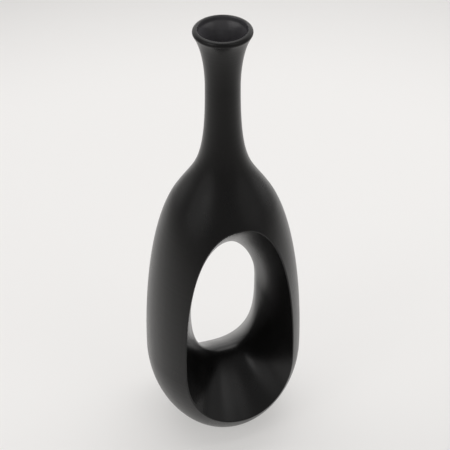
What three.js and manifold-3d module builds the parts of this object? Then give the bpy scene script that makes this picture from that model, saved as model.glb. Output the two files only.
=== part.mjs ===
// A black clay bottle vase with a funnel-shaped hole right through its belly.
// Millimetres, +Z up. The origin is the centre of the foot, and the hole runs along Y.
// The bottle is built from the pieces of clay that a potter lutes together:
// each meets the next one along a seam, and the chamber inside runs round the hole up to the neck.
import * as THREE from "three";
import { ParametricGeometry } from "three/addons/geometries/ParametricGeometry.js";
import { mergeVertices } from "three/addons/utils/BufferGeometryUtils.js";
import Module from "manifold-3d";

// Knots of the outside, from the foot to the seat of the lip. slope is in degrees above the
// horizontal, and before and after are the lengths of the curve's handles at the knot.
const FOOT = { radius: 30, height: 0, slope: 42, after: 15 };
const BELLY = { radius: 55.4, height: 62, slope: 90, before: 29, after: 48 };
const SHOULDER = { radius: 34, height: 192.5, slope: 121, before: 30, after: 28 };
const NECK = { radius: 11.5, height: 278, slope: 90, before: 62, after: 11.4 };
const MOUTH = { radius: 18.8, height: 316, slope: 60, before: 11.4 };
const KNOTS = [FOOT, BELLY, SHOULDER, NECK, MOUTH];
const HEIGHT = 319.4;

// The rolled lip: its crown, and the lengths of the handles of the curves that lead up to it from
// outside and down from it to the inside of the mouth
const CROWN_RADIUS = 16.5;
const LIP_SWELL = 2;
const LIP_ROUND = 1.6;
const LIP_NARROW = 0.75;
const LIP_INSIDE = 1.2;

// Thickness of the clay. The wall thins from the shoulder to the mouth.
const FLOOR_THICKNESS = 6;
const WALL_THICKNESS = 4;
const MOUTH_THICKNESS = 3.2;
const SLEEVE_THICKNESS = 4;

// The hole: an oval waist on the plane y = 0, and an oval crease on the outside of the belly.
// Each oval is a superellipse whose upper and lower halves have their own height and roundness.
// From waist to crease the wall spreads with the depth to the power of FUNNEL_CURVE, and the sleeve
// is thicker by the share FUNNEL_FLARE in the plane of the crease, because the wall slants there.
// The cutting tool for the hole runs on to PAST times the depth of the creases.
const WAIST = { z: 108.5, halfWidth: 25, up: 45, down: 57, roundUp: 1.85, roundDown: 2.9 };
const CREASE = { z: 71, halfWidth: 39.4, up: 115.6, down: 51.8, roundUp: 2.3, roundDown: 2.3 };
const FUNNEL_CURVE = 1.35;
const FUNNEL_FLARE = 0.35;
const PAST = 1.25;

// Touching pieces keep this gap, which the slip fills. The neck is joined on at NECK_SEAM.
const SEAM_GAP = 0.3;
const NECK_SEAM = 205;

// Fineness of the solids
const ROUND_STEPS = 40;
const CURVE_STEPS = 6;
const FUNNEL_STEPS = 5;
const LIP_STEPS = 6;
const HALVINGS = 30;

// Cutting tools are this wide, well past the belly on every side
const REACH = 3 * BELLY.radius;

const wasm = await Module();
wasm.setup();

// The point at some distance from a knot along its slope
function handle(knot, distance) {
  const slope = THREE.MathUtils.degToRad(knot.slope);
  const radius = knot.radius + distance * Math.cos(slope);
  return new THREE.Vector2(radius, knot.height + distance * Math.sin(slope));
}

// The outside: bowl, dome, throat and flare
const outside = KNOTS.slice(1).map((knot, index) => {
  const from = KNOTS[index];
  return new THREE.CubicBezierCurve(
    handle(from, 0),
    handle(from, from.after),
    handle(knot, -knot.before),
    handle(knot, 0),
  );
});

// Points of the outside, each moved inward along its normal by the clay's thickness at its height
function profile(thicknessAt) {
  const points = [];
  outside.forEach((curve, index) => {
    for (let step = index === 0 ? 0 : 1; step <= CURVE_STEPS; step += 1) {
      const point = curve.getPoint(step / CURVE_STEPS);
      const tangent = curve.getTangent(step / CURVE_STEPS);
      const inward = new THREE.Vector2(-tangent.y, tangent.x);
      points.push(point.clone().addScaledVector(inward, thicknessAt(point.y)));
    }
  });
  return points;
}

function wallThickness(height) {
  const thinning = THREE.MathUtils.smoothstep(height, SHOULDER.height, MOUTH.height);
  return THREE.MathUtils.lerp(WALL_THICKNESS, MOUTH_THICKNESS, thinning);
}

// A three.js geometry as a Manifold solid: shared corners merged, flat triangles dropped
function toSolid(geometry) {
  geometry.deleteAttribute("normal");
  geometry.deleteAttribute("uv");
  const merged = mergeVertices(geometry, 1e-4);
  const corners = [];
  for (let i = 0; i < merged.index.count; i += 3) {
    const [a, b, c] = [0, 1, 2].map((k) => merged.index.getX(i + k));
    if (a !== b && b !== c && c !== a) {
      corners.push(a, b, c);
    }
  }
  return new wasm.Manifold(
    new wasm.Mesh({
      numProp: 3,
      vertProperties: new Float32Array(merged.attributes.position.array),
      triVerts: new Uint32Array(corners),
    }),
  );
}

function toGeometry(solid) {
  const mesh = solid.getMesh();
  const geometry = new THREE.BufferGeometry();
  geometry.setAttribute("position", new THREE.BufferAttribute(mesh.vertProperties, 3));
  geometry.setIndex(new THREE.BufferAttribute(mesh.triVerts, 1));
  geometry.computeVertexNormals();
  return geometry;
}

// A profile of radius and height turned round the bottle's axis
function turned(points) {
  return new THREE.LatheGeometry(points, ROUND_STEPS).rotateX(Math.PI / 2);
}

function turnedSolid(points) {
  const first = points[0];
  const last = points[points.length - 1];
  const axis = [new THREE.Vector2(0, first.y), new THREE.Vector2(0, last.y)];
  return toSolid(turned([axis[0], ...points, axis[1]]));
}

// Everything between two heights
function slab(low, high) {
  return toSolid(new THREE.BoxGeometry(REACH, REACH, high - low).translate(0, 0, (low + high) / 2));
}

// Everything in front of the waist, or behind it, less half a seam
function halfSpace(sign) {
  const box = new THREE.BoxGeometry(REACH, REACH, HEIGHT);
  return toSolid(box.translate(0, (sign * (REACH + SEAM_GAP)) / 2, HEIGHT / 2));
}

// A point of an oval grown by some distance, at an angle counted from +X
function onOval(oval, angle, grow) {
  const c = Math.cos(angle);
  const s = Math.sin(angle);
  const roundness = s > 0 ? oval.roundUp : oval.roundDown;
  const reach = grow + (s > 0 ? oval.up : oval.down);
  return {
    x: (oval.halfWidth + grow) * Math.sign(c) * Math.abs(c) ** (2 / roundness),
    z: oval.z + reach * Math.sign(s) * Math.abs(s) ** (2 / roundness),
  };
}

// The outside radius at a height, by halving the stretch of the curve that holds it
function outsideRadius(height) {
  const curve = outside.find((c) => height <= c.v3.y);
  let low = 0;
  let high = 1;
  for (let i = 0; i < HALVINGS; i += 1) {
    const middle = (low + high) / 2;
    if (curve.getPoint(middle).y < height) {
      low = middle;
    } else {
      high = middle;
    }
  }
  return curve.getPoint(low).x;
}

// A point of the passage wall. depth is 0 at the waist and 1 or -1 at the creases.
function onPassage(angle, depth, grow) {
  const spread = Math.abs(depth) ** FUNNEL_CURVE;
  const waist = onOval(WAIST, angle, grow);
  const crease = onOval(CREASE, angle, grow * (1 + FUNNEL_FLARE));
  const radius = outsideRadius(crease.z);
  const reach = Math.sqrt(radius ** 2 - crease.x ** 2);
  return {
    x: THREE.MathUtils.lerp(waist.x, crease.x, spread),
    y: depth * reach,
    z: THREE.MathUtils.lerp(waist.z, crease.z, spread),
  };
}

// The passage through the belly as one solid, grown by some distance and run on past both faces.
// Its rings of points are closed at each end by a single point in front of or behind the belly.
function passage(grow) {
  const rings = [-PAST];
  for (let step = -FUNNEL_STEPS; step <= FUNNEL_STEPS; step += 1) {
    rings.push(step / FUNNEL_STEPS);
  }
  rings.push(PAST);
  const last = rings.length + 1;
  const wall = (u, v, target) => {
    const ring = Math.round(v * last);
    if (ring === 0 || ring === last) {
      target.set(0, Math.sign(ring - 1) * PAST * BELLY.radius, BELLY.height);
    } else {
      const point = onPassage(-2 * Math.PI * u, rings[ring - 1], grow);
      target.set(point.x, point.y, point.z);
    }
  };
  return toSolid(new ParametricGeometry(wall, ROUND_STEPS, last));
}

const body = turnedSolid(profile(() => 0));
const shell = body.subtract(turnedSolid(profile(wallThickness)));
const opening = passage(0);
const sleeve = body.intersect(passage(SLEEVE_THICKNESS)).subtract(opening);
const cutShell = shell.subtract(passage(SLEEVE_THICKNESS + SEAM_GAP));

function baseDisc() {
  return toGeometry(body.intersect(slab(-1, FLOOR_THICKNESS)));
}

// A stretch of the clay wall between two seams
function wallSection(low, high) {
  return toGeometry(cutShell.intersect(slab(low + SEAM_GAP / 2, high - SEAM_GAP / 2)));
}

function lowerBody() {
  return wallSection(FLOOR_THICKNESS + SEAM_GAP / 2, BELLY.height);
}

function upperBody() {
  return wallSection(BELLY.height, NECK_SEAM);
}

function neck() {
  return wallSection(NECK_SEAM, MOUTH.height);
}

// The lip swells out of the wall, rounds over to its crown and falls to the inside of the mouth.
// It is flattened underneath, where it sits on the neck.
function lipRing() {
  const seat = { ...MOUTH, height: MOUTH.height + SEAM_GAP / 2 };
  const acrossWall = MOUTH_THICKNESS / Math.sin(THREE.MathUtils.degToRad(MOUTH.slope));
  const inner = { ...seat, radius: seat.radius - acrossWall };
  const crown = { radius: CROWN_RADIUS, height: HEIGHT, slope: 180 };
  const rise = new THREE.CubicBezierCurve(
    handle(seat, 0),
    handle(seat, LIP_SWELL),
    handle(crown, -LIP_ROUND),
    handle(crown, 0),
  );
  const fall = new THREE.CubicBezierCurve(
    handle(crown, 0),
    handle(crown, LIP_NARROW),
    handle(inner, LIP_INSIDE),
    handle(inner, 0),
  );
  const points = [...rise.getPoints(LIP_STEPS), ...fall.getPoints(LIP_STEPS).slice(1)];
  return toGeometry(toSolid(turned([...points, points[0]])));
}

// One half of the sleeve: sign -1 is the front
function funnel(sign) {
  return toGeometry(sleeve.intersect(halfSpace(sign)));
}

// Smoke-blackened clay, rubbed to a satin before firing
function satinClay() {
  return new THREE.MeshStandardMaterial({ color: 0x1d1b1a, roughness: 0.36, metalness: 0 });
}

// The same clay, burnished harder with a stone
function burnishedClay() {
  return new THREE.MeshStandardMaterial({ color: 0x161414, roughness: 0.2, metalness: 0 });
}

function named(name, geometry, material) {
  const mesh = new THREE.Mesh(geometry, material);
  mesh.name = name;
  return mesh;
}

const vase = new THREE.Group();
vase.add(
  named("base_disc", baseDisc(), satinClay()),
  named("lower_body", lowerBody(), satinClay()),
  named("upper_body", upperBody(), satinClay()),
  named("neck", neck(), satinClay()),
  named("lip_ring", lipRing(), satinClay()),
  named("front_funnel", funnel(-1), burnishedClay()),
  named("back_funnel", funnel(1), burnishedClay()),
);

export default vase;
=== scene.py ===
"""A black clay bottle vase with a funnel-shaped hole through its belly, on a pale floor.

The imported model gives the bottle's height and the seams between its pieces. Each piece is made here
as a fine closed mesh in the same place. Shapes are worked out in millimetres, with the hole along Y,
and written to the meshes in metres.
"""

import math
from collections import namedtuple

import bpy
import numpy as np
from mathutils import Matrix, Vector

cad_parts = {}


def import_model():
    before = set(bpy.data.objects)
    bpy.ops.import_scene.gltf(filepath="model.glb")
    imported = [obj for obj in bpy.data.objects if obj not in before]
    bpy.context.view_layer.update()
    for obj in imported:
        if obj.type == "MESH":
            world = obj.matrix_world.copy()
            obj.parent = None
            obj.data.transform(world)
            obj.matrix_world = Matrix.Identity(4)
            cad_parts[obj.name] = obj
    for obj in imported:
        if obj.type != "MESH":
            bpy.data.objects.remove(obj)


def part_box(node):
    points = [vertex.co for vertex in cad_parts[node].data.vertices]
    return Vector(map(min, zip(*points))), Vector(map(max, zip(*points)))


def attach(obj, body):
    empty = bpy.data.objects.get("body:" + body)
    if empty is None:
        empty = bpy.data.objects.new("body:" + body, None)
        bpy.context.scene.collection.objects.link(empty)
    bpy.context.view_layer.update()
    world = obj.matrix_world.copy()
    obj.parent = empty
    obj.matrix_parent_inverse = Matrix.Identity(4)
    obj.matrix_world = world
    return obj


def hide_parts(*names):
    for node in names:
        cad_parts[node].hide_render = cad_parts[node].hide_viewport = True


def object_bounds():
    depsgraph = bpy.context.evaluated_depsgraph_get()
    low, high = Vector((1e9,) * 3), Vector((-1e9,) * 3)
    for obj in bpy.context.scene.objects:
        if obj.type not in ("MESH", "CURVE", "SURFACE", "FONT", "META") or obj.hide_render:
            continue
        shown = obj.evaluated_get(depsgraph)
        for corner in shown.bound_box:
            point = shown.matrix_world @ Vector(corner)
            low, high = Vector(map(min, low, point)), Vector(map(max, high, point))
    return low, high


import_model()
cad_low, cad_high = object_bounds()

MM = 0.001
HEIGHT = cad_high.z / MM

# Knots of the outside. slope is in degrees above the horizontal, and before and after are the
# lengths of the curve's handles at the knot.
Knot = namedtuple("Knot", "radius height slope before after")
FOOT = Knot(30.0, 0.0, 42, 0.0, 15.0)
BELLY = Knot(55.4, 62.0, 90, 29.0, 48.0)
SHOULDER = Knot(34.0, 192.5, 121, 30.0, 28.0)
NECK = Knot(11.5, 278.0, 90, 62.0, 11.4)
MOUTH = Knot(18.8, 316.0, 60, 11.4, 0.0)
KNOTS = [FOOT, BELLY, SHOULDER, NECK, MOUTH]

# The foot's edge is worn over this distance on each side of it
FOOT_WORN = 1.6

# The rolled lip: its crown, and the lengths of the handles of the curves that lead up to it from
# outside and down from it to the inside of the mouth
CROWN_RADIUS = 16.5
LIP_SWELL = 2.0
LIP_ROUND = 1.6
LIP_NARROW = 0.75
LIP_INSIDE = 1.2

# The clay's thickness in the wall, at the mouth and in the sleeve round the hole
WALL = 4.0
MOUTH_WALL = 3.2
SLEEVE = 4.0

# The ovals of the hole, in its middle and on the outside of the belly
Oval = namedtuple("Oval", "middle half_width up down round_up round_down")
WAIST = Oval(108.5, 25.0, 45.0, 57.0, 1.85, 2.9)
CREASE = Oval(71.0, 39.4, 115.6, 51.8, 2.3, 2.3)

# From waist to crease the hole spreads with the depth to this power, softened near the waist. The
# sleeve is SLEEVE_FLARE times as thick at the crease, whose edge is rounded over CREASE_ROUND.
FUNNEL_CURVE = 1.35
WAIST_SOFTNESS = 0.07
SLEEVE_FLARE = 1.35
CREASE_ROUND = 0.9

# Rows of the satin band round the hole, at these distances outside the crease
BAND_ROWS = (2.0, 3.1, 4.2)

# Steps of the fine meshes
CURVE_STEPS = 300
OVAL_STEPS = 288
ARC_STEPS = 72
LIP_STEPS = 18
ROUND_STEPS = 6
FUNNEL_STEPS = 56
BACK_STEPS = 13
SOLE_STEPS = 11
HALVINGS = 40

# The funnel's rows crowd toward the waist by this power
CROWDING = 1.5

# Heights of the rows of a wall, and of the short skirt above the foot
ROW_STEP = 1.2
SKIRT_STEP = 0.8

# Points closer than this are one point
WELD = 1e-5

# A piece of the wall has an outside and an inside, which take the piece's first and second clay
OUTER, INNER = 0, 1

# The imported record's names for the two clays
SATIN = "satin_black_clay"
BURNISHED = "burnished_black_clay"

SAME = np.array([1, 1, 1])
MIRROR_X = np.array([-1, 1, 1])
MIRROR_Y = np.array([1, -1, 1])
UP = np.array([0.0, 0.0, 1.0])


def seam(below, above):
    """The height of the seam between two nodes."""
    return (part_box(below)[1].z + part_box(above)[0].z) / 2 / MM


FLOOR_SEAM = seam("base_disc", "lower_body")
BELLY_SEAM = seam("lower_body", "upper_body")
NECK_SEAM = seam("upper_body", "neck")
LIP_SEAM = seam("neck", "lip_ring")


# ---------------------------------------------------------------- the outside and the inside


def unit(vectors):
    return vectors / np.linalg.norm(vectors, axis=-1, keepdims=True)


def handle(knot, distance):
    """The point at some distance from a knot along its slope."""
    slope = math.radians(knot.slope)
    radius = knot.radius + distance * math.cos(slope)
    return np.array([radius, knot.height + distance * math.sin(slope)])


def bezier(a, b, c, d, t):
    t = np.asarray(t)[:, None]
    return (1 - t) ** 3 * a + 3 * (1 - t) ** 2 * t * b + 3 * (1 - t) * t**2 * c + t**3 * d


def outline():
    """Radius and height along the whole outside, from the foot to the seat of the lip."""
    stretches = []
    for low, high in zip(KNOTS, KNOTS[1:]):
        steps = CURVE_STEPS + (high is MOUTH)
        ends = handle(low, 0), handle(low, low.after), handle(high, -high.before), handle(high, 0)
        stretches.append(bezier(*ends, np.arange(steps) / CURVE_STEPS))
    return np.concatenate(stretches)


# The outside, and how far it moves outward for each millimetre of height
OUTSIDE = outline()
RUN = np.gradient(OUTSIDE[:, 0]) / np.gradient(OUTSIDE[:, 1])


def smoothstep(x, low, high):
    t = np.clip((x - low) / (high - low), 0, 1)
    return t * t * (3 - 2 * t)


def inside_outline():
    """The outside moved inward by the wall's thickness, which thins from shoulder to mouth."""
    thinning = smoothstep(OUTSIDE[:, 1], SHOULDER.height, MOUTH.height)
    thickness = WALL + (MOUTH_WALL - WALL) * thinning
    inward = unit(np.stack([-np.ones_like(RUN), RUN], -1))
    return OUTSIDE + thickness[:, None] * inward


INSIDE = inside_outline()


def radius_at(table, z):
    """The radius of the outside or the inside at a height."""
    return np.interp(z, table[:, 1], table[:, 0])


def outward(points):
    """The outside's normals at the heights of some points, facing away from the axis."""
    x, y, z = points[..., 0], points[..., 1], points[..., 2]
    run = np.interp(z, OUTSIDE[:, 1], RUN)
    around = np.hypot(x, y)
    return unit(np.stack([x / around, y / around, -run], -1))


# ---------------------------------------------------------------- the hole


def on_oval(oval, angle, grow):
    """Points x and z of an oval grown by a distance, at angles counted from +X."""
    nothing = 1e-12
    c, s = np.cos(angle), np.sin(angle)
    c = np.where(abs(c) < nothing, 0, c)
    s = np.where(abs(s) < nothing, 0, s)
    power = np.where(s > 0, 2 / oval.round_up, 2 / oval.round_down)
    reach = np.where(s > 0, oval.up, oval.down) + grow
    x = (oval.half_width + grow) * np.sign(c) * np.abs(c) ** power
    return x, oval.middle + reach * np.sign(s) * np.abs(s) ** power


def on_outside(angle, grow):
    """Points of the belly's front round the crease, at a distance outside it."""
    x, z = on_oval(CREASE, angle, grow)
    return np.stack([x, -np.sqrt(radius_at(OUTSIDE, z) ** 2 - x**2), z], -1)


def passage(angle, depth, grow=0.0):
    """Points of the hole's front half, from the waist at depth 0 to the crease at depth 1."""
    soft = WAIST_SOFTNESS**FUNNEL_CURVE
    full = (1 + WAIST_SOFTNESS**2) ** (FUNNEL_CURVE / 2) - soft
    spread = ((depth**2 + WAIST_SOFTNESS**2) ** (FUNNEL_CURVE / 2) - soft) / full
    x0, z0 = on_oval(WAIST, angle, grow)
    crease = on_outside(angle, grow * SLEEVE_FLARE)
    x = x0 + (crease[..., 0] - x0) * spread
    z = z0 + (crease[..., 2] - z0) * spread
    return np.stack([x, crease[..., 1] * depth, z], -1)


def passage_normal(angle, depth):
    """The hole's normals, which point into it, for rows of points that start at the waist."""
    tiny = 1e-4
    round_it = passage(angle + tiny, depth) - passage(angle - tiny, depth)
    through_it = passage(angle, depth + tiny) - passage(angle, depth - tiny)
    normal = unit(np.cross(round_it, through_it))
    to_middle = np.array([0, 0, WAIST.middle]) - passage(angle, depth)
    return normal * np.sign((to_middle[0] * normal[0]).sum())


# ---------------------------------------------------------------- meshes


class Clay:
    """Grids of points that are welded into one closed mesh, each with its own normals."""

    def __init__(self):
        self.points, self.faces, self.normals, self.slots = [], [], [], []
        self.count = 0

    def grid(self, points, facing, smooth=True, slot=0):
        """Adds a grid. facing is its normal at each point, or about it where smooth is false."""
        points = np.asarray(points, float)
        facing = np.broadcast_to(np.asarray(facing, float), points.shape)
        rows, columns = points.shape[:2]
        number = np.arange(rows * columns).reshape(rows, columns)
        corners = number[:-1, :-1], number[:-1, 1:], number[1:, 1:], number[1:, :-1]
        quads = np.stack([corner.ravel() for corner in corners], -1)
        flat, out = points.reshape(-1, 3), facing.reshape(-1, 3)
        a, b, c, d = (flat[quads[:, k]] for k in range(4))
        across = np.cross(c - a, d - b)
        if (across * out[quads].sum(1)).sum() < 0:
            quads = quads[:, ::-1]
            across = -across
        if smooth:
            normals = out[quads]
        else:
            smallest = 1e-12
            size = np.linalg.norm(across, axis=-1, keepdims=True)
            normals = np.repeat((across / np.maximum(size, smallest))[:, None], 4, 1)
        self.points.append(flat)
        self.faces.append(quads + self.count)
        self.normals.append(normals)
        self.slots.append(np.full(len(quads), slot))
        self.count += rows * columns

    def mesh(self, name):
        """The grids as one mesh, with points in the same place made one."""
        points = np.concatenate(self.points)
        normals = np.concatenate(self.normals)
        slots = np.concatenate(self.slots)
        keys = np.round(points / WELD).astype(np.int64)
        _, first, same = np.unique(keys, axis=0, return_index=True, return_inverse=True)
        faces, face_slots, corner_normals = [], [], []
        for index, face in enumerate(same.reshape(-1)[np.concatenate(self.faces)]):
            kept = [k for k in range(4) if face[k] != face[k - 1]]
            if len(kept) > 2:
                faces.append([int(face[k]) for k in kept])
                face_slots.append(int(slots[index]))
                corner_normals.extend(tuple(normals[index][k]) for k in kept)
        mesh = bpy.data.meshes.new(name)
        mesh.from_pydata([tuple(point) for point in points[first] * MM], [], faces)
        mesh.polygons.foreach_set("material_index", face_slots)
        mesh.polygons.foreach_set("use_smooth", [True] * len(faces))
        mesh.normals_split_custom_set(corner_normals)
        mesh.update()
        return mesh

    def piece(self, name, materials, slot_name):
        """Makes the grids one object that rides on the bottle's body and stands for its node."""
        mesh = self.mesh(name)
        for material in materials:
            mesh.materials.append(material)
        piece = bpy.data.objects.new(name + "_clay", mesh)
        bpy.context.scene.collection.objects.link(piece)
        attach(piece, "root")
        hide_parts(name)


def turned(profile, normals):
    """A profile of radius and height, with its normals, turned round the bottle's axis."""
    turn = np.linspace(0, 2 * np.pi, 2 * ARC_STEPS + 1)
    turn[-1] = 0

    def sweep(pairs):
        radial, upright = np.split(np.asarray(pairs, float), 2, axis=1)
        x, y = radial * np.cos(turn), radial * np.sin(turn)
        return np.stack([x, y, np.broadcast_to(upright, x.shape)], -1)

    return sweep(profile), sweep(normals)


def profile_normals(profile):
    """Normals to the right of a profile's direction."""
    along = np.gradient(profile, axis=0)
    return unit(np.stack([along[:, 1], -along[:, 0]], -1))


def heights(low, high, step):
    count = max(2, int(round((high - low) / step)) + 1)
    return np.linspace(low, high, count)


def stretch(table, low, high, step):
    """A stretch of the outside or inside between two heights."""
    z = heights(low, high, step)
    return np.stack([radius_at(table, z), z], -1)


def flat_disc(radius, height, steps, facing):
    """A level disc and its normals, which point up where facing is 1 and down where it is -1."""
    profile = np.stack([np.linspace(0, radius, steps + 1), np.full(steps + 1, height)], -1)
    return turned(profile, np.tile([0, facing], (steps + 1, 1)))


# ---------------------------------------------------------------- the wall of the belly


def wall_trim(angle):
    """Where the sleeve's back meets the outside and the inside of the wall, round the front hole."""
    inside_wall = 0.4
    outer = passage(angle, np.ones_like(angle), SLEEVE)
    near, far = np.full_like(angle, inside_wall), np.ones_like(angle)
    for _ in range(HALVINGS):
        middle = (near + far) / 2
        point = passage(angle, middle, SLEEVE)
        out = np.hypot(point[:, 0], point[:, 1]) > radius_at(INSIDE, point[:, 2])
        near, far = np.where(out, near, middle), np.where(out, middle, far)
    return outer, passage(angle, far, SLEEVE)


def angle_at(height, which):
    """The angle of the oval at which the outer or inner trim reaches a height, on the right."""
    low, high = -math.pi / 2, math.pi / 2
    for _ in range(HALVINGS):
        middle = (low + high) / 2
        if wall_trim(np.array([middle]))[which][0, 2] < height:
            low = middle
        else:
            high = middle
    return low


def trimmed_edge(which, upper):
    """The outer or inner trim, from the belly's seam to the top or the bottom of the sleeve."""
    start = angle_at(BELLY_SEAM, which)
    pole = math.pi / 2 if upper else -math.pi / 2
    # closer together near the pole, where the edge runs nearly level
    even = np.linspace(0, 1, OVAL_STEPS // 4 + 1)
    share = (even + np.sin(even * math.pi / 2)) / 2
    edge = wall_trim(start + (pole - start) * share)[which]
    edge[0, 2] = BELLY_SEAM
    edge[-1, 0] = 0
    return edge


def arc_rows(edge):
    """Rows of points on the right of the belly, each from the front hole to the back one."""
    radius = np.hypot(edge[:, 0], edge[:, 1])[:, None]
    reach = np.arctan2(-edge[:, 1], np.maximum(edge[:, 0], 0))[:, None]
    turn = np.linspace(-1, 1, ARC_STEPS + 1)[None, :] * reach
    x, y = radius * np.cos(turn), radius * np.sin(turn)
    return np.stack([x, y, np.broadcast_to(edge[:, 2:], x.shape)], -1)


def whole_rows(table, sleeve_end, far_seam):
    """Rows of the right half of the wall between the end of the sleeve and the far seam."""
    z = heights(min(sleeve_end[2], far_seam), max(sleeve_end[2], far_seam), ROW_STEP)
    radius = np.where(z == sleeve_end[2], -sleeve_end[1], radius_at(table, z))
    return arc_rows(np.stack([0 * z, -radius, z], -1))


def belly_wall(far_seam):
    """The wall between the belly's seam and a seam above or below it, cut by the sleeve."""
    clay = Clay()
    upper = far_seam > BELLY_SEAM
    edges, belly_rims, far_rims = [], [], []
    for which, table, sign in ((OUTER, OUTSIDE, 1), (INNER, INSIDE, -1)):
        edge = trimmed_edge(which, upper)
        beside = arc_rows(edge)
        beyond = whole_rows(table, edge[-1], far_seam)
        for rows in (beside, beyond):
            for flip in (SAME, MIRROR_X):
                clay.grid(rows * flip, outward(rows) * sign * flip, slot=which)
        edges.append(edge)
        belly_rims.append(beside[0])
        far_rims.append(beyond[-1] if upper else beyond[0])
    notch = np.stack(edges, 1)
    into_hole = np.stack([-notch[..., 0], 0 * notch[..., 1], CREASE.middle - notch[..., 2]], -1)
    for flip in (SAME, MIRROR_X, MIRROR_Y, MIRROR_X * MIRROR_Y):
        clay.grid(notch * flip, into_hole * flip, smooth=False)
    away = UP if upper else -UP
    for flip in (SAME, MIRROR_X):
        clay.grid(np.stack(belly_rims) * flip, -away, smooth=False)
        clay.grid(np.stack(far_rims) * flip, away, smooth=False)
    return clay


def lower_body():
    """The bowl from the base disc up to the belly's widest line."""
    return belly_wall(FLOOR_SEAM)


def upper_body():
    """The dome from the belly's widest line up to the neck."""
    return belly_wall(NECK_SEAM)


# ---------------------------------------------------------------- the other pieces


def base_disc():
    """The slab that the bottle stands on, with a worn edge round its foot."""
    clay = Clay()
    sole_radius = FOOT.radius - FOOT_WORN
    start = np.array([sole_radius, FOOT.height])
    corner = handle(FOOT, 0)
    worn_height = handle(FOOT, FOOT_WORN)[1]
    end = np.array([radius_at(OUTSIDE, worn_height), worn_height])
    t = np.linspace(0, 1, ROUND_STEPS + 1)[:, None]
    edge = (1 - t) ** 2 * start + 2 * t * (1 - t) * corner + t**2 * end
    side = stretch(OUTSIDE, worn_height, FLOOR_SEAM, SKIRT_STEP)[1:]
    skirt = np.concatenate([edge, side])
    normals = profile_normals(skirt)
    normals[0] = (0, -1)
    points, facing = turned(skirt, normals)
    facing[-1] = outward(points[-1])
    clay.grid(points, facing)
    clay.grid(*flat_disc(sole_radius, FOOT.height, steps=SOLE_STEPS, facing=-1))
    clay.grid(*flat_disc(skirt[-1, 0], FLOOR_SEAM, steps=2, facing=1))
    return clay


def neck():
    """The throat and the flare of the mouth."""
    clay = Clay()
    skins = []
    for which, table, sign in ((OUTER, OUTSIDE, 1), (INNER, INSIDE, -1)):
        profile = stretch(table, NECK_SEAM, LIP_SEAM, ROW_STEP)
        points, _ = turned(profile, profile_normals(profile))
        clay.grid(points, outward(points) * sign, slot=which)
        skins.append(points)
    clay.grid(np.stack([skin[0] for skin in skins]), -UP, smooth=False)
    clay.grid(np.stack([skin[-1] for skin in skins]), UP, smooth=False)
    return clay


def lip_ring():
    """The roll of the lip, which swells from the wall outside and falls to the inside."""
    clay = Clay()
    # this many steps past the crown are rubbed like the outside
    rubbed_steps = 2
    outer = np.array([radius_at(OUTSIDE, LIP_SEAM), LIP_SEAM])
    inner = np.array([radius_at(INSIDE, LIP_SEAM), LIP_SEAM])
    crown = np.array([CROWN_RADIUS, HEIGHT])
    slope = math.radians(MOUTH.slope)
    along = np.array([math.cos(slope), math.sin(slope)])
    t = np.linspace(0, 1, LIP_STEPS + 1)
    rise = bezier(outer, outer + LIP_SWELL * along, crown + [LIP_ROUND, 0], crown, t)
    fall = bezier(crown, crown - [LIP_NARROW, 0], inner + LIP_INSIDE * along, inner, t)
    roll = np.concatenate([rise, fall[1:]])
    normals = profile_normals(roll)
    last = LIP_STEPS + rubbed_steps
    clay.grid(*turned(roll[: last + 1], normals[: last + 1]), slot=OUTER)
    clay.grid(*turned(roll[last:], normals[last:]), slot=INNER)
    seat = np.stack([inner, outer])
    clay.grid(*turned(seat, np.tile([0, -1], (2, 1))), smooth=False)
    return clay


def funnel_wall(angle):
    """The wall of the hole's front half, from the waist to where the crease is rounded."""
    near_crease = 0.98
    last_step = passage(angle, np.ones_like(angle)) - passage(angle, near_crease)
    slant = np.linalg.norm(last_step, axis=-1) / (1 - near_crease)
    edge_depth = 1 - CREASE_ROUND / slant
    share = np.linspace(0, 1, FUNNEL_STEPS + 1) ** CROWDING
    depth = share[:, None] * edge_depth[None, :]
    across = np.broadcast_to(angle, depth.shape)
    return passage(across, depth), passage_normal(across, depth)


def rounded_crease(angle, edge, edge_facing):
    """The soft edge between the hole's wall and the outside of the belly."""
    top = on_outside(angle, CREASE_ROUND)
    t = np.linspace(0, 1, ROUND_STEPS + 1)[:, None, None]
    points = (1 - t) ** 2 * edge + 2 * t * (1 - t) * on_outside(angle, 0.0) + t**2 * top
    return points, unit((1 - t) * edge_facing + t * outward(top))


def funnel(side):
    """Half of the sleeve round the hole: side 1 is the front and -1 the back."""
    clay = Clay()
    flip = np.array([1, side, 1])
    angle = np.linspace(0, 2 * np.pi, OVAL_STEPS + 1)
    angle[-1] = 0
    wall, wall_facing = funnel_wall(angle)
    clay.grid(wall * flip, wall_facing * flip)
    crease, crease_facing = rounded_crease(angle, wall[-1], wall_facing[-1])
    clay.grid(crease * flip, crease_facing * flip)
    rim = passage(angle, np.ones_like(angle), SLEEVE)
    band = np.stack([crease[-1]] + [on_outside(angle, grow) for grow in BAND_ROWS] + [rim])
    clay.grid(band * flip, outward(band) * flip, slot=1)
    back_depth = np.linspace(1, 0, BACK_STEPS + 1)[:, None] * np.ones_like(angle)
    back = passage(np.broadcast_to(angle, back_depth.shape), back_depth, SLEEVE)
    away = back - [0, 0, WAIST.middle]
    clay.grid(back * flip, away * flip, smooth=False)
    clay.grid(np.stack([back[-1], wall[0]]) * flip, (0, side, 0), smooth=False)
    return clay


# ---------------------------------------------------------------- materials

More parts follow.
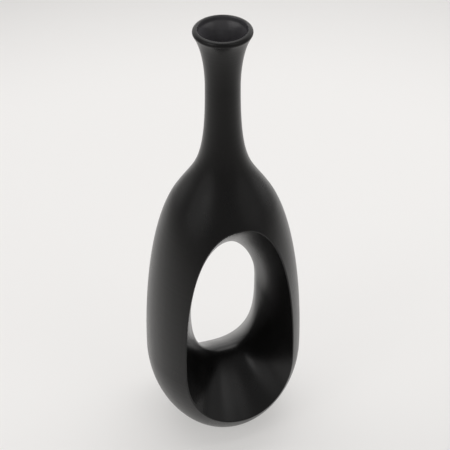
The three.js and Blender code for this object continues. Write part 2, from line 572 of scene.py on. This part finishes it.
# Noise in the clay: its scale per metre, its detail and its squeeze along X, Y and Z. What it
# changes follows the noise between NOISE_LOW and NOISE_HIGH.
Noise = namedtuple("Noise", "scale detail squeeze")
MOTTLE = Noise(38.0, 3.0, (1, 1, 0.6))
STROKES = Noise(90.0, 2.0, (1, 1, 0.12))
TURNING = Noise(90.0, 2.0, (0.2, 0.2, 5))
PORES = Noise(900.0, 3.0, (1, 1, 1))
NOISE_LOW = 0.3
NOISE_HIGH = 0.7

# How the mottle changes the colour, how mottle and strokes each change the roughness, how strong
# turning marks and pores are beside the strokes, and how deep the relief is in metres
DARKEST = 0.75
LIGHTEST = 1.3
ROUGHNESS_CHANGE = 0.02
TURNING_SHARE = 0.6
PORES_SHARE = 0.35
RELIEF_DEPTH = 0.0002

SKY_COLOUR = (1.0, 0.99, 0.985, 1)
FLOOR_COLOUR = (0.42, 0.415, 0.41, 1)
# The colour of the floor's painted glow
PAINTED_GLOW_COLOUR = (1.0, 0.985, 0.965, 1)

# Painted light on the floor: it glows in an oval pool, longer from left to right, with its middle
# behind the bottle, which lifts the shade round the bottle. The glow is even up to the pool's EVEN
# distance, in metres from there, and gone at its END distance.
LIGHT_POOL_MIDDLE_Y = 0.22
LIGHT_POOL_SQUEEZE_X = 0.7
LIGHT_POOL_EVEN = 0.2
LIGHT_POOL_END = 0.8
PAINTED_GLOW_STRENGTH = 0.44


def add_node(tree, kind, sockets, **settings):
    """Adds a node. Each socket, by name or number, takes a value or a link."""
    node = tree.nodes.new("ShaderNode" + kind)
    for name, value in settings.items():
        setattr(node, name, value)
    for socket, value in sockets.items():
        if isinstance(value, bpy.types.NodeSocket):
            tree.links.new(value, node.inputs[socket])
        else:
            node.inputs[socket].default_value = value
    return node


def map_range(tree, value, low, high, from_value, to_value, **settings):
    sockets = {"Value": value, "From Min": low, "From Max": high}
    sockets.update({"To Min": from_value, "To Max": to_value})
    return add_node(tree, "MapRange", sockets, **settings).outputs["Result"]


def math_node(tree, operation, *values):
    return add_node(tree, "Math", dict(enumerate(values)), operation=operation).outputs["Value"]


def new_material(name):
    material = bpy.data.materials.new(name)
    material.use_nodes = True
    return material, material.node_tree, material.node_tree.nodes["Principled BSDF"]


def clay_noise(tree, place, noise):
    squeezed = add_node(tree, "Mapping", {"Vector": place, "Scale": noise.squeeze})
    sockets = {"Vector": squeezed.outputs["Vector"], "Scale": noise.scale, "Detail": noise.detail}
    return add_node(tree, "TexNoise", sockets).outputs["Fac"]


def clay_relief(tree, strokes, turning, pores, strength):
    """Bumps of the strokes, the turning marks and the pores together."""
    marks = math_node(tree, "MULTIPLY_ADD", turning, TURNING_SHARE, strokes)
    height = math_node(tree, "MULTIPLY_ADD", pores, PORES_SHARE, marks)
    sockets = {"Strength": strength, "Distance": RELIEF_DEPTH, "Height": height}
    return add_node(tree, "Bump", sockets).outputs["Normal"]


def clay_material(name, colour, roughness, specular, relief_strength):
    """Smoke-blackened clay: turning marks, rubbing strokes, pores and a soft mottle."""
    material, tree, shader = new_material(name)
    place = add_node(tree, "TexCoord", {}).outputs["Object"]
    mottle, strokes, turning, pores = (
        clay_noise(tree, place, noise) for noise in (MOTTLE, STROKES, TURNING, PORES)
    )

    def spread(noise, from_value, to_value):
        return map_range(tree, noise, NOISE_LOW, NOISE_HIGH, from_value, to_value)

    dark = (*[DARKEST * channel for channel in colour], 1)
    light = (*[LIGHTEST * channel for channel in colour], 1)
    sockets = {"A": dark, "B": light, "Factor": spread(mottle, 0, 1)}
    tint = add_node(tree, "Mix", sockets, data_type="RGBA")
    change = ROUGHNESS_CHANGE
    mottled = spread(mottle, roughness - change, roughness + change)
    uneven = math_node(tree, "ADD", mottled, spread(strokes, -change, change))
    relief = clay_relief(tree, strokes, turning, pores, relief_strength)
    tree.links.new(tint.outputs["Result"], shader.inputs["Base Color"])
    tree.links.new(uneven, shader.inputs["Roughness"])
    tree.links.new(relief, shader.inputs["Normal"])
    shader.inputs["Specular IOR Level"].default_value = specular
    return material


def satin_clay():
    """The outside, rubbed to a satin before firing."""
    colour = (0.0035, 0.0032, 0.003)
    return clay_material(SATIN, colour, roughness=0.29, specular=0.33, relief_strength=0.5)


def burnished_clay():
    """The wall of the hole, burnished harder."""
    colour = (0.005, 0.0048, 0.0048)
    return clay_material(BURNISHED, colour, roughness=0.25, specular=0.35, relief_strength=0.1)


def inside_clay():
    """The inside of the bottle, smoothed wet. Its grey, far lighter than the outside clay, is painted
    light: it stands in for the light that the inside of the mouth reflects.
    """
    name, colour = "inside_clay_painted_light", (0.065, 0.063, 0.068)
    return clay_material(name, colour, roughness=0.2, specular=0.75, relief_strength=0.8)


def floor_material():
    """A pale matt floor with painted light: it glows in a pool round the bottle, which lifts the
    shade near it.
    """
    material, tree, shader = new_material("pale_floor_painted_glow")
    shader.inputs["Base Color"].default_value = FLOOR_COLOUR
    shader.inputs["Roughness"].default_value = 0.9
    shader.inputs["Specular IOR Level"].default_value = 0.1
    # Emission paints a pool of light on the floor round the bottle
    shader.inputs["Emission Color"].default_value = PAINTED_GLOW_COLOUR
    place = add_node(tree, "TexCoord", {}).outputs["Object"]
    move, squeeze = (0, -LIGHT_POOL_MIDDLE_Y, 0), (LIGHT_POOL_SQUEEZE_X, 1, 1)
    light_pool = add_node(tree, "Mapping", {"Vector": place, "Location": move, "Scale": squeeze})
    away = add_node(tree, "VectorMath", {0: light_pool.outputs["Vector"]}, operation="LENGTH")
    ramp = LIGHT_POOL_EVEN, LIGHT_POOL_END, PAINTED_GLOW_STRENGTH, 0
    painted_glow = map_range(tree, away.outputs["Value"], *ramp, interpolation_type="SMOOTHSTEP")
    tree.links.new(painted_glow, shader.inputs["Emission Strength"])
    return material


# ---------------------------------------------------------------- the set

# The camera stands about a metre away and looks down on the bottle, a little from the left.
# Angles are in degrees and distances in metres. LENS and SENSOR_WIDTH are in millimetres.
CAMERA_AZIMUTH = -18.3
CAMERA_ELEVATION = 37.93
CAMERA_DISTANCE = 0.9814
AIM_HEIGHT = 0.1655
AIM_RIGHT = 0.00141
LENS = 114.88
SENSOR_WIDTH = 36
NEAR_CLIP = 0.01

FLOOR_HALF_WIDTH = 12.0

# The lamp above, in metres and watts
LAMP_PLACE = Vector((0.55, 0.25, 1.3))
LAMP_TARGET = Vector((0, 0.1, 0))
LAMP_SIZE = 0.8
LAMP_POWER = 3.0

# Soft lights in the sky, in degrees. azimuth is counted from behind the bottle toward its right. The
# cosine of the angle from a light's middle is faded where it starts and whole where it is brightest.
SkyLight = namedtuple("SkyLight", "azimuth elevation faded whole dim bright")
BEHIND = SkyLight(20, 12, 0.0, 0.95, 0.3, 1.15)
OVERHEAD = SkyLight(0, 70, 0.85, 0.95, 0.0, 1.3)
LEFT = SkyLight(-104, 26, 0.84, 0.95, 0.0, 0.42)
RIGHT = SkyLight(130, 26, 0.88, 0.97, 0.0, 0.25)
SMALL_LEFT = SkyLight(-111, 40, 0.98, 0.993, 0.0, 2.0)
SMALL_RIGHT = SkyLight(148, 49, 0.968, 0.99, 0.0, 0.75)

# What the camera sees of the sky itself, beyond the floor
PLAIN_SKY = 0.75


def direction(azimuth, elevation):
    """A direction, with its azimuth counted from behind the bottle toward its right."""
    azimuth, elevation = math.radians(azimuth), math.radians(elevation)
    level = math.cos(elevation)
    return Vector((math.sin(azimuth) * level, math.cos(azimuth) * level, math.sin(elevation)))


def camera():
    """The camera's azimuth is counted from straight in front of the bottle toward its right."""
    pivot = Vector((0, 0, AIM_HEIGHT))
    place = pivot + CAMERA_DISTANCE * direction(180 - CAMERA_AZIMUTH, CAMERA_ELEVATION)
    right = direction(90 - CAMERA_AZIMUTH, 0)
    gaze = pivot + AIM_RIGHT * right - place
    data = bpy.data.cameras.new("camera")
    data.sensor_width = SENSOR_WIDTH
    data.lens = LENS
    data.clip_start = NEAR_CLIP
    eye = bpy.data.objects.new("camera", data)
    turn = gaze.to_track_quat("-Z", "Y").to_matrix().to_4x4()
    eye.matrix_world = Matrix.Translation(place) @ turn
    bpy.context.scene.collection.objects.link(eye)
    bpy.context.scene.camera = eye


def floor():
    far = FLOOR_HALF_WIDTH
    corners = [(-far, -far, 0), (far, -far, 0), (far, far, 0), (-far, far, 0)]
    mesh = bpy.data.meshes.new("floor")
    mesh.from_pydata(corners, [], [(0, 1, 2, 3)])
    mesh.materials.append(floor_material())
    plane = bpy.data.objects.new("floor", mesh)
    bpy.context.scene.collection.objects.link(plane)


def lamp_above():
    """A soft box above and to the right. It lays a shadow to the left and makes no highlight."""
    data = bpy.data.lights.new("top_light", "AREA")
    data.size = LAMP_SIZE
    data.energy = LAMP_POWER
    lamp = bpy.data.objects.new("top_light", data)
    lamp.location = LAMP_PLACE
    lamp.rotation_euler = (LAMP_TARGET - LAMP_PLACE).to_track_quat("-Z", "Y").to_euler()
    lamp.visible_glossy = False
    lamp.visible_camera = False
    bpy.context.scene.collection.objects.link(lamp)


def sky_light(tree, place, light):
    """The brightness that one soft light gives each direction."""
    axis = direction(light.azimuth, light.elevation)
    along = add_node(tree, "VectorMath", {0: place, 1: axis}, operation="DOT_PRODUCT")
    ramp = light.faded, light.whole, light.dim, light.bright
    return map_range(tree, along.outputs["Value"], *ramp, interpolation_type="SMOOTHSTEP")


def world():
    """Soft light all round: bright behind the bottle and above it, dim in front."""
    sky = bpy.data.worlds.new("soft_light")
    sky.use_nodes = True
    tree = sky.node_tree
    place = add_node(tree, "TexCoord", {}).outputs["Generated"]
    strength = sky_light(tree, place, BEHIND)
    for light in (OVERHEAD, LEFT, RIGHT, SMALL_LEFT, SMALL_RIGHT):
        strength = math_node(tree, "ADD", strength, sky_light(tree, place, light))
    seen = add_node(tree, "LightPath", {}).outputs["Is Camera Ray"]
    pick = add_node(tree, "Mix", {"Factor": seen, "A": strength, "B": PLAIN_SKY})
    background = tree.nodes["Background"]
    tree.links.new(pick.outputs["Result"], background.inputs["Strength"])
    background.inputs["Color"].default_value = SKY_COLOUR
    bpy.context.scene.world = sky


def main():
    satin = satin_clay()
    burnished = burnished_clay()
    inside = inside_clay()
    base_disc().piece("base_disc", [satin], SATIN)
    lower_body().piece("lower_body", [satin, inside], SATIN)
    upper_body().piece("upper_body", [satin, inside], SATIN)
    neck().piece("neck", [satin, inside], SATIN)
    lip_ring().piece("lip_ring", [satin, inside], SATIN)
    funnel(1).piece("front_funnel", [burnished, satin], BURNISHED)
    funnel(-1).piece("back_funnel", [burnished, satin], BURNISHED)
    floor()
    camera()
    world()
    lamp_above()
    bpy.context.scene.view_settings.view_transform = "Standard"


main()
